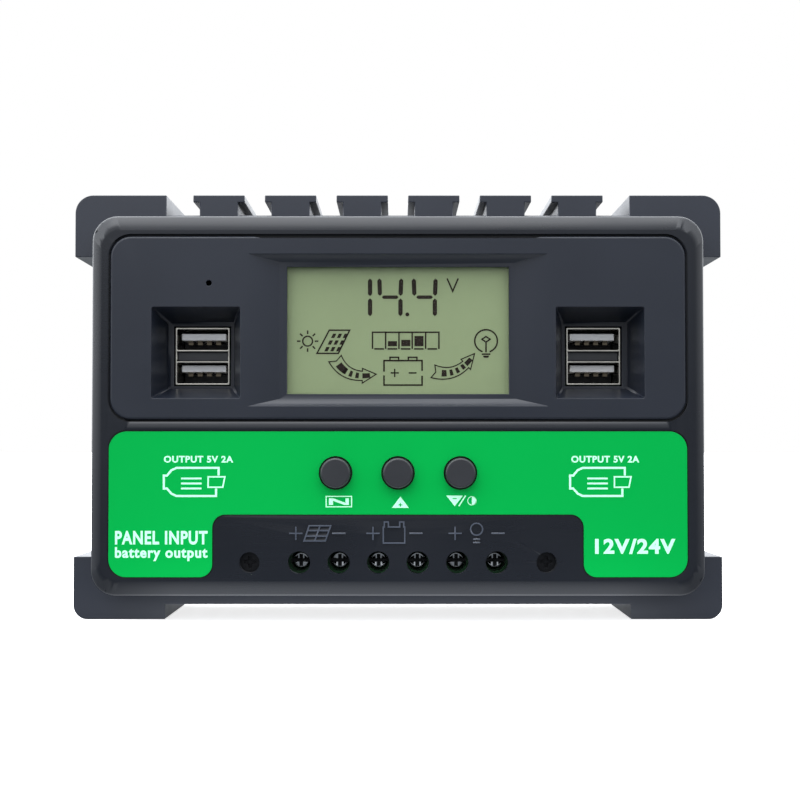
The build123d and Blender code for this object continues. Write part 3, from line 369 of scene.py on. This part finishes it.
for left in (-6.2, -3.0, 0.24, 3.45, 6.72):
    signs.append(line([(left + 0.45, 13.75), (left + 2.8, 13.75)], 0.36))
for across in (-3.0, 0.24, 3.45, 6.72):
    signs.append(line([(across, 13.75), (across, 17.8)], 0.36))
for left, high in ((-2.45, 15.65), (0.8, 15.95), (4.0, 16.9)):
    signs.append(bar(left, 14.4, left + 2.2, high))
signs.append(line([(-3.4, 8.2), (-3.4, 10.9), (5.85, 10.9), (5.85, 8.4)], 0.38))
signs.append(line([(-3.4, 7.3), (-3.4, 4.95), (5.85, 4.95), (5.85, 7.2)], 0.38))
for left in (-1.95, 2.5):
    signs.append(line([(left, 11.1), (left, 11.7), (left + 2.1, 11.7), (left + 2.1, 11.1)], 0.36))
signs.append(line([(-1.8, 7.9), (0.2, 7.9)], 0.32))
signs.append(line([(-0.8, 6.9), (-0.8, 8.9)], 0.32))
signs.append(line([(2.6, 7.9), (4.5, 7.9)], 0.32))
bulb = (21.41, 15.68)
signs.append(line(arc(bulb, 2.75, -72, 252, 40), 0.38))
signs.append(line([(20.4, 16.1), (21.4, 16.75), (22.4, 16.1), (21.4, 15.4)], 0.36, closed=True))
signs.append(line([(21.4, 15.4), (21.4, 12.9)], 0.36))
signs.append(bar(20.35, 12.3, 22.45, 12.65))
signs.append([[(20.6, 12.1), (22.2, 12.1), (21.9, 11.6), (20.9, 11.6)]])

finish, tree, place = start_finish("display_segments")
speck = add_node(tree, "ShaderNodeTexNoise", {"Scale": 900.0, "Detail": 2.0}, {"Vector": place})
ink = add_node(tree, "ShaderNodeBsdfPrincipled", {"Roughness": 0.5, "Specular IOR Level": 0.2},
               {"Base Color": two_tone(tree, speck.outputs["Fac"], "#1d140c", 0.85, 1.15)})
end_finish(tree, ink.outputs[0])
flat_piece("display_signs", signs, cell_front - 0.00005, finish)

finish, tree, place = start_finish("display_cell")
cloud = add_node(tree, "ShaderNodeTexNoise", {"Scale": 18.0, "Detail": 1.0}, {"Vector": place})
weave = add_node(tree, "ShaderNodeTexNoise", {"Scale": 5000.0, "Detail": 1.0}, {"Vector": place})
relief = add_node(tree, "ShaderNodeBump", {"Strength": 0.1, "Distance": 0.000004},
                  {"Height": weave.outputs["Fac"]})
cell = add_node(tree, "ShaderNodeBsdfPrincipled", {"Roughness": 0.38, "IOR": 1.5, "Specular IOR Level": 0.25},
                {"Base Color": two_tone(tree, cloud.outputs["Fac"], "#86946f", 0.98, 1.02),
                 "Normal": relief.outputs[0]})
end_finish(tree, cell.outputs[0])
dress(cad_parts["lcd_glass"], finish)

finish, tree, place = start_finish("clear_display_sheet")
smear = add_node(tree, "ShaderNodeTexNoise", {"Scale": 60.0, "Detail": 4.0}, {"Vector": place})
smear_gloss = add_node(tree, "ShaderNodeMapRange", {"To Min": 0.08, "To Max": 0.2},
                       {"Value": smear.outputs["Fac"]})
sheet_glass = add_node(tree, "ShaderNodeBsdfPrincipled",
                       {"Base Color": linear("#14160f"), "IOR": 1.49, "Alpha": 0.05},
                       {"Roughness": smear_gloss.outputs[0]})
end_finish(tree, sheet_glass.outputs[0])
dress(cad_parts["lcd_window"], finish)

# ---- Printed label ----
# Self-adhesive polycarbonate film, green reverse print with pale lettering, cut round the terminals.
# It lies in its own shallow pocket; the print is drawn as shapes a hair above the film.
label_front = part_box("front_label")[0].y
finish, tree, place = start_finish("green_label_film")
cloud = add_node(tree, "ShaderNodeTexNoise", {"Scale": 12.0, "Detail": 1.0}, {"Vector": place})
leather = add_node(tree, "ShaderNodeTexNoise", {"Scale": 6000.0, "Detail": 2.0}, {"Vector": place})
scuff = add_node(tree, "ShaderNodeTexNoise", {"Scale": 240.0, "Detail": 5.0}, {"Vector": place})
film_gloss = add_node(tree, "ShaderNodeMapRange", {"To Min": 0.34, "To Max": 0.5},
                      {"Value": scuff.outputs["Fac"]})
relief = add_node(tree, "ShaderNodeBump", {"Strength": 0.2, "Distance": 0.000006},
                  {"Height": leather.outputs["Fac"]})
film = add_node(tree, "ShaderNodeBsdfPrincipled", {"IOR": 1.5, "Specular IOR Level": 0.05},
                {"Base Color": two_tone(tree, cloud.outputs["Fac"], "#009a40", 0.96, 1.04),
                 "Roughness": film_gloss.outputs[0], "Normal": relief.outputs[0]})
end_finish(tree, film.outputs[0])
dress(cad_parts["front_label"], finish)


def letters(words, left, right, low, high, heavy=0.0):
    """Flat lettering stretched to fill a box, as loops of points in millimetres."""
    curve = bpy.data.curves.new("lettering", "FONT")
    curve.body = words
    curve.offset = heavy
    curve.resolution_u = 4
    curve.space_character = 1.12
    holder = bpy.data.objects.new("lettering", curve)
    bpy.context.scene.collection.objects.link(holder)
    bpy.context.view_layer.update()
    mesh = bpy.data.meshes.new_from_object(holder.evaluated_get(bpy.context.evaluated_depsgraph_get()))
    xs = [vert.co.x for vert in mesh.vertices]
    ys = [vert.co.y for vert in mesh.vertices]
    wide = (right - left) / (max(xs) - min(xs))
    tall = (high - low) / (max(ys) - min(ys))
    loops = []
    for face in mesh.polygons:
        corners = [mesh.vertices[index].co for index in face.vertices]
        loops.append([(left + (corner.x - min(xs)) * wide, low + (corner.y - min(ys)) * tall)
                      for corner in corners])
    bpy.data.objects.remove(holder)
    bpy.data.curves.remove(curve)
    bpy.data.meshes.remove(mesh)
    return loops


def plug_sign(left, low):
    """Outline of a plug lying on its side with its metal nose."""
    body = [(left + 13.4, low + 5.2), (left + 13.4, low + 7.05), (left + 3.3, low + 7.05),
            (left + 2.1, low + 6.5), (left + 1.0, low + 5.2), (left + 0.25, low + 5.2),
            (left + 0.25, low + 2.1), (left + 1.0, low + 2.1), (left + 2.1, low + 0.85),
            (left + 3.3, low + 0.3), (left + 12.8, low + 0.3), (left + 12.8, low + 2.1)]
    nose = [(left + 10.9, low + 4.9), (left + 14.9, low + 4.9), (left + 14.4, low + 2.4),
            (left + 10.9, low + 2.4)]
    made = line(body, 0.5) + line(nose, 0.34, closed=True)
    for row in (2.1, 3.3, 4.5):
        made += line([(left + 4.4, low + row), (left + 9.3, low + row)], 0.42)
    return made


print_shapes = []
for left, right in ((-56.27, -39.6), (41.65, 58.0)):
    print_shapes.append(letters("OUTPUT 5V 2A", left, right, -13.85, -12.2, heavy=0.035))
print_shapes.append(plug_sign(-56.5, -22.15))
print_shapes.append(plug_sign(41.1, -22.15))
print_shapes.append(letters("PANEL INPUT", -67.9, -45.7, -33.5, -30.2, heavy=0.032))
print_shapes.append(letters("battery output", -67.9, -45.7, -37.45, -34.1, heavy=0.03))
print_shapes.append(letters("12V/24V", 47.3, 66.6, -35.75, -32.1, heavy=0.035))
print_shapes.append(line([(-17.25, -24.45), (-11.15, -24.45), (-11.15, -21.95), (-17.25, -21.95)], 0.24,
                         closed=True))
print_shapes.append([[(-16.6, -22.4), (-15.6, -22.4), (-12.6, -23.5), (-12.6, -22.4), (-11.8, -22.4),
                      (-11.8, -24.0), (-12.9, -24.0), (-15.6, -23.0), (-15.6, -24.0), (-16.6, -24.0)]])
print_shapes.append([[(-1.45, -24.7), (2.6, -24.7), (0.58, -22.0)]])
print_shapes.append([[(11.6, -21.75), (15.6, -21.75), (13.6, -24.3)]])
print_shapes.append(line([(14.6, -24.3), (16.25, -21.75)], 0.3))
print_shapes.append(ring((17.75, -23.0), 1.0, 0.16))
print_shapes.append([arc((17.75, -23.0), 1.0, -90, 90, 14)])

finish, tree, place = start_finish("pale_label_print")
speck = add_node(tree, "ShaderNodeTexNoise", {"Scale": 1500.0, "Detail": 3.0}, {"Vector": place})
ink = add_node(tree, "ShaderNodeBsdfPrincipled", {"Roughness": 0.42, "IOR": 1.5, "Specular IOR Level": 0.3},
               {"Base Color": two_tone(tree, speck.outputs["Fac"], "#b9fbd6", 0.94, 1.04)})
end_finish(tree, ink.outputs[0])
flat_piece("label_printing", print_shapes, label_front - 0.00002, finish)

finish, tree, place = start_finish("green_sign_cutout")
speck = add_node(tree, "ShaderNodeTexNoise", {"Scale": 1500.0, "Detail": 3.0}, {"Vector": place})
ink = add_node(tree, "ShaderNodeBsdfPrincipled", {"Roughness": 0.42, "IOR": 1.5, "Specular IOR Level": 0.3},
               {"Base Color": two_tone(tree, speck.outputs["Fac"], "#04b653", 0.95, 1.05)})
end_finish(tree, ink.outputs[0])
cutouts = [bar(0.1, -24.1, 1.06, -23.86), bar(0.46, -24.45, 0.7, -23.5), bar(13.1, -22.6, 14.1, -22.36)]
flat_piece("label_sign_cutouts", cutouts, label_front - 0.00004, finish)

# ---- Push buttons ----
# Satin black moulded caps with a small chamfer, each carried on the plunger of its switch.
button_plastic = moulded("satin_black_button", "#1c1e23", rough=0.38, grain_mm=0.3, depth_mm=0.006)
for name in ("view", "up", "down"):
    finished("button_cap_" + name, [(0.18, any_edge)], button_plastic,
             body="button_" + name)
    dress(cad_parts["switch_plunger_" + name], button_plastic)

# ---- Charging sockets ----
# Folded nickel-plated steel shells with pale moulded tongues; gilt springs lie under each tongue. The
# insulator faces at the socket backs and in a band at mid height are coloured dark, painted shade deep in the
# sockets.


def plated(name, colour, rough=0.25, brush_mm=0.1, stretch=(1.0, 1.0, 1.0), metal=1.0):
    """Metal with drawn streaks, small pits and a slightly cloudy plating."""
    finish, tree, place = start_finish(name)
    grain = add_node(tree, "ShaderNodeMapping", {"Scale": tuple(1000 / brush_mm * way for way in stretch)},
                     {"Vector": place})
    streak = add_node(tree, "ShaderNodeTexNoise", {"Scale": 1.0, "Detail": 3.0}, {"Vector": grain.outputs[0]})
    cloud = add_node(tree, "ShaderNodeTexNoise", {"Scale": 150.0, "Detail": 3.0}, {"Vector": place})
    gloss = add_node(tree, "ShaderNodeMapRange", {"To Min": rough * 0.7, "To Max": rough * 1.4},
                     {"Value": cloud.outputs["Fac"]})
    relief = add_node(tree, "ShaderNodeBump", {"Strength": 0.2, "Distance": 0.000006},
                      {"Height": streak.outputs["Fac"]})
    steel = add_node(tree, "ShaderNodeBsdfPrincipled", {"Metallic": metal},
                     {"Base Color": two_tone(tree, cloud.outputs["Fac"], colour, 0.85, 1.1),
                      "Roughness": gloss.outputs[0], "Normal": relief.outputs[0]})
    end_finish(tree, steel.outputs[0])
    return finish


nickel = plated("nickel_plated_shell", "#b9b6ae", rough=0.22, stretch=(1.0, 0.05, 1.0))
for side in ("left", "right"):
    finished("usb_shell_" + side, [(0.1, any_edge)], nickel, sharp=40.0)
tongue_plastic = moulded("pale_socket_moulding", "#fbfcff", rough=0.35, grain_mm=0.3, depth_mm=0.003)
socket_shade_plastic = moulded("socket_moulding_painted_shade", "#2a2c31", rough=0.45, grain_mm=0.3, depth_mm=0.003)
insulators = finished("usb_insulators", [(0.2, any_edge)], tongue_plastic, sharp=40.0)
insulators.data.materials.append(socket_shade_plastic)
shell_low, shell_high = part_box("usb_shell_left")
socket_middle = (shell_low.z + shell_high.z) / 2
# Faces at the socket backs and around mid height take the dark colour: painted shade.
for face in insulators.data.polygons:
    if face.center.y > shell_high.y - 0.0031 or abs(face.center.z - socket_middle) < 0.0013:
        face.material_index = 1
gilt = plated("gilt_contact", "#c9a45a", rough=0.2)
# The springs take a darkened gilt: painted shade under the tongues.
gilt_spring_shade = plated("gilt_spring_painted_shade", "#5d564a", rough=0.35)
dress(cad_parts["usb_contacts"], gilt_spring_shade)
for node in ("lcd_pins", "header_pins"):
    dress(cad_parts[node], gilt)

# ---- Terminals ----
# Green glass-filled blocks soldered to the power board. Each holds a nickel screw, a zinc cage that
# climbs it, and a tinned bar; only the screw heads show, at the bottom of their wells.
terminal_plastic = moulded("green_terminal_moulding", "#12582a", rough=0.36, grain_mm=0.35, depth_mm=0.006)
for name in ("panel", "battery", "load"):
    dress(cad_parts["terminal_block_" + name], terminal_plastic)
screw_nickel = plated("nickel_plated_screw", "#9b9ea1", rough=0.16, brush_mm=0.3)
recess_painted_shade = plated("cross_recess_painted_shade", "#26282a", rough=0.5, metal=0.6)
cage_zinc = plated("zinc_plated_cage", "#aeb2b4", rough=0.3)
for number in range(1, 7):
    turned = finished("terminal_screw_" + str(number), [], screw_nickel,
                      body="clamp_screw_" + str(number))
    # The faces in the cross recess take a dark colour: painted shade in the recess.
    turned.data.materials.append(recess_painted_shade)
    head_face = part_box("terminal_screw_" + str(number))[0].y
    for face in turned.data.polygons:
        if head_face + 0.0007 < face.center.y < head_face + 0.0016:
            face.material_index = 1
    dress(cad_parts["wire_cage_" + str(number)], cage_zinc)
tinned = plated("tinned_copper_bar", "#c8c6be", rough=0.35)
for node in ("terminal_bars", "mosfet_tabs", "shunts"):
    dress(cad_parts[node], tinned)

# ---- Screws ----
# Black pan-head screws close the case; bright zinc ones hold the boards and the heat sink.
black_oxide = plated("black_oxide_steel", "#1b1c1f", rough=0.4, metal=0.8)
for node in ("case_screws_front", "case_screws_rear"):
    finished(node, [(0.2, lambda edge: edge.calc_length() > 0.0004)], black_oxide)
bright_zinc = plated("bright_zinc_steel", "#b7bbbf", rough=0.28)
for node in ("display_board_screws", "board_screws", "heat_sink_screws", "heat_sink_spacers"):
    dress(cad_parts[node], bright_zinc)

# ---- Circuit boards and their parts ----
# Two glass-laminate boards under green resist, with plain moulded packages, can capacitors,
# a wound ring coil and an orange blade fuse. They show only through the vents and keyholes.
finish, tree, place = start_finish("green_solder_resist")
tracks = add_node(tree, "ShaderNodeTexVoronoi", {"Scale": 260.0, "distance": "MANHATTAN"}, {"Vector": place})
copper = add_node(tree, "ShaderNodeMapRange", {"From Min": 0.3, "From Max": 0.34},
                  {"Value": tracks.outputs["Distance"]})
relief = add_node(tree, "ShaderNodeBump", {"Strength": 0.3, "Distance": 0.00003},
                  {"Height": copper.outputs[0]})
resist = add_node(tree, "ShaderNodeBsdfPrincipled", {"Roughness": 0.3, "IOR": 1.5},
                  {"Base Color": two_tone(tree, copper.outputs[0], "#145c34", 0.7, 1.3),
                   "Normal": relief.outputs[0]})
end_finish(tree, resist.outputs[0])
for node in ("main_board", "display_board"):
    dress(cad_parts[node], finish)
black_moulding = moulded("black_moulded_package", "#17181a", rough=0.5, grain_mm=0.3, depth_mm=0.006)
for node in ("lcd_frame", "header_socket", "header_strip", "switch_bodies", "mosfet_bodies", "buzzer",
             "chip_packages", "fuse_holder"):
    dress(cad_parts[node], black_moulding)
milky = moulded("milky_light_guide", "#dfe3d8", rough=0.3, grain_mm=0.5, depth_mm=0.004)
dress(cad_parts["lcd_backlight"], milky)
lamp = moulded("diffused_lamp_body", "#2c4a2f", rough=0.25, grain_mm=0.4, depth_mm=0.003)
dress(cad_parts["status_led"], lamp)
drawn = plated("extruded_aluminium", "#c9ccce", rough=0.35, stretch=(1.0, 1.0, 0.04))
dress(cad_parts["heat_sink"], drawn)
pad = moulded("silicone_pad", "#8a96a3", rough=0.7, grain_mm=0.4, depth_mm=0.01)
dress(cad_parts["thermal_pads"], pad)
sleeve = moulded("can_sleeve_film", "#10142a", rough=0.28, grain_mm=0.8, depth_mm=0.003)
dress(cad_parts["capacitors"], sleeve)
core = moulded("coated_ring_core", "#b8a83a", rough=0.5, grain_mm=0.4, depth_mm=0.02)
dress(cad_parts["inductor_core"], core)
enamel = plated("enamelled_copper", "#b5622f", rough=0.25)
dress(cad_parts["inductor_winding"], enamel)
amber = moulded("orange_fuse_body", "#d9781c", rough=0.25, grain_mm=0.6, depth_mm=0.003)
dress(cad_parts["fuse"], amber)

# ---- Floor, light and camera ----
# The case stands on its two lower ears on a plain pale floor, in soft light mostly from above.
floor_level = cad_box[0][2]
work = bmesh.new()
bmesh.ops.create_grid(work, x_segments=1, y_segments=1, size=12.0)
mesh = bpy.data.meshes.new("floor")
work.to_mesh(mesh)
work.free()
floor = bpy.data.objects.new("floor", mesh)
floor.location = (0.0, 0.0, floor_level - 0.0001)
bpy.context.scene.collection.objects.link(floor)
finish, tree, place = start_finish("pale_floor")
matt = add_node(tree, "ShaderNodeBsdfPrincipled",
                {"Base Color": (0.93, 0.93, 0.93, 1.0), "Roughness": 0.9, "Specular IOR Level": 0.0,
                 "Emission Color": (1.0, 1.0, 1.0, 1.0), "Emission Strength": 0.78})
across = add_node(tree, "ShaderNodeSeparateXYZ", links={0: place})
near = add_node(tree, "ShaderNodeMapRange",
                {"From Min": -0.08, "From Max": -0.058, "To Min": 0.0, "To Max": 2.4},
                {"Value": across.outputs["Y"]})
under = add_node(tree, "ShaderNodeMapRange",
                 {"From Min": -0.048, "From Max": -0.036, "To Min": 1.0, "To Max": 0.1},
                 {"Value": across.outputs["Y"]})
offside = add_node(tree, "ShaderNodeMath", {"operation": "ABSOLUTE"}, {0: across.outputs["X"]})
middle = add_node(tree, "ShaderNodeMapRange",
                  {"From Min": 0.055, "From Max": 0.078, "To Min": 1.0, "To Max": 0.2},
                  {"Value": offside.outputs[0]})
strip = add_node(tree, "ShaderNodeMath", {"operation": "MULTIPLY"}, {0: near.outputs[0], 1: under.outputs[0]})
pool = add_node(tree, "ShaderNodeMath", {"operation": "MULTIPLY"},
                {0: strip.outputs[0], 1: middle.outputs[0]})
dull = add_node(tree, "ShaderNodeBsdfPrincipled",
                {"Base Color": (0.12, 0.125, 0.13, 1.0), "Roughness": 0.9, "Specular IOR Level": 0.0,
                 "Emission Color": (0.9, 0.94, 1.0, 1.0)},
                {"Emission Strength": pool.outputs[0]})
seen = add_node(tree, "ShaderNodeLightPath")
both = add_node(tree, "ShaderNodeMixShader", links={0: seen.outputs["Is Camera Ray"], 1: dull.outputs[0],
                                                   2: matt.outputs[0]})
end_finish(tree, both.outputs[0])
floor.data.materials.append(finish)

world = bpy.data.worlds.new("studio")
world.use_nodes = True
world.node_tree.nodes.clear()
sky = add_node(world.node_tree, "ShaderNodeBackground", {"Color": (1.0, 1.0, 1.0, 1.0), "Strength": 1.0})
way = add_node(world.node_tree, "ShaderNodeTexCoord")
split = add_node(world.node_tree, "ShaderNodeSeparateXYZ", links={0: way.outputs["Generated"]})
around = add_node(world.node_tree, "ShaderNodeMapRange", {"From Min": -0.2, "From Max": 0.9, "To Min": 2.2,
                                                         "To Max": 4.4}, {"Value": split.outputs["Z"]})
ahead = add_node(world.node_tree, "ShaderNodeMapRange", {"From Min": -0.04, "From Max": 0.2, "To Min": 0.0,
                                                        "To Max": 1.4}, {"Value": split.outputs["Z"]})
facing = add_node(world.node_tree, "ShaderNodeMapRange", {"From Min": -0.85, "From Max": -0.45, "To Min": 1.0,
                                                         "To Max": 0.0}, {"Value": split.outputs["Y"]})
left = add_node(world.node_tree, "ShaderNodeMapRange", {"From Min": -1.0, "From Max": 1.0, "To Min": 1.15,
                                                       "To Max": 0.7}, {"Value": split.outputs["X"]})
sides = add_node(world.node_tree, "ShaderNodeMath", {"operation": "MULTIPLY"},
                 {0: around.outputs[0], 1: left.outputs[0]})
strength = add_node(world.node_tree, "ShaderNodeMix", {"data_type": "FLOAT"},
                    {0: facing.outputs[0], 2: sides.outputs[0], 3: ahead.outputs[0]})
soft = add_node(world.node_tree, "ShaderNodeBackground", {"Color": (0.93, 0.96, 1.0, 1.0)},
                {"Strength": strength.outputs[0]})
seen = add_node(world.node_tree, "ShaderNodeLightPath")
both = add_node(world.node_tree, "ShaderNodeMixShader",
                links={0: seen.outputs["Is Camera Ray"], 1: soft.outputs[0], 2: sky.outputs[0]})
add_node(world.node_tree, "ShaderNodeOutputWorld", links={"Surface": both.outputs[0]})
bpy.context.scene.world = world


def soft_light(name, place, target, size, power, colour=(1.0, 1.0, 1.0)):
    """Square softbox aimed at a point."""
    lamp_data = bpy.data.lights.new(name, "AREA")
    lamp_data.shape = "SQUARE"
    lamp_data.size = size
    lamp_data.energy = power
    lamp_data.color = colour
    holder = bpy.data.objects.new(name, lamp_data)
    holder.location = place
    holder.rotation_euler = (Vector(target) - Vector(place)).to_track_quat("-Z", "Y").to_euler()
    bpy.context.scene.collection.objects.link(holder)


soft_light("top_box", (-0.05, -0.17, 0.42), (0.0, -0.04, 0.0), 0.42, 1.2)
soft_light("front_fill", (-0.25, -0.9, 0.4), (0.0, -0.05, 0.0), 0.5, 0.5)

camera_data = bpy.data.cameras.new("camera")
camera_data.sensor_width = 36.0
camera_data.lens = 73.93
camera_data.clip_start = 0.01
camera = bpy.data.objects.new("camera", camera_data)
camera.location = (0.0, -0.449, -0.0101)
camera.rotation_euler = (math.radians(91.64), 0.0, math.radians(-0.07))
bpy.context.scene.collection.objects.link(camera)
bpy.context.scene.camera = camera
bpy.context.scene.view_settings.view_transform = "Standard"
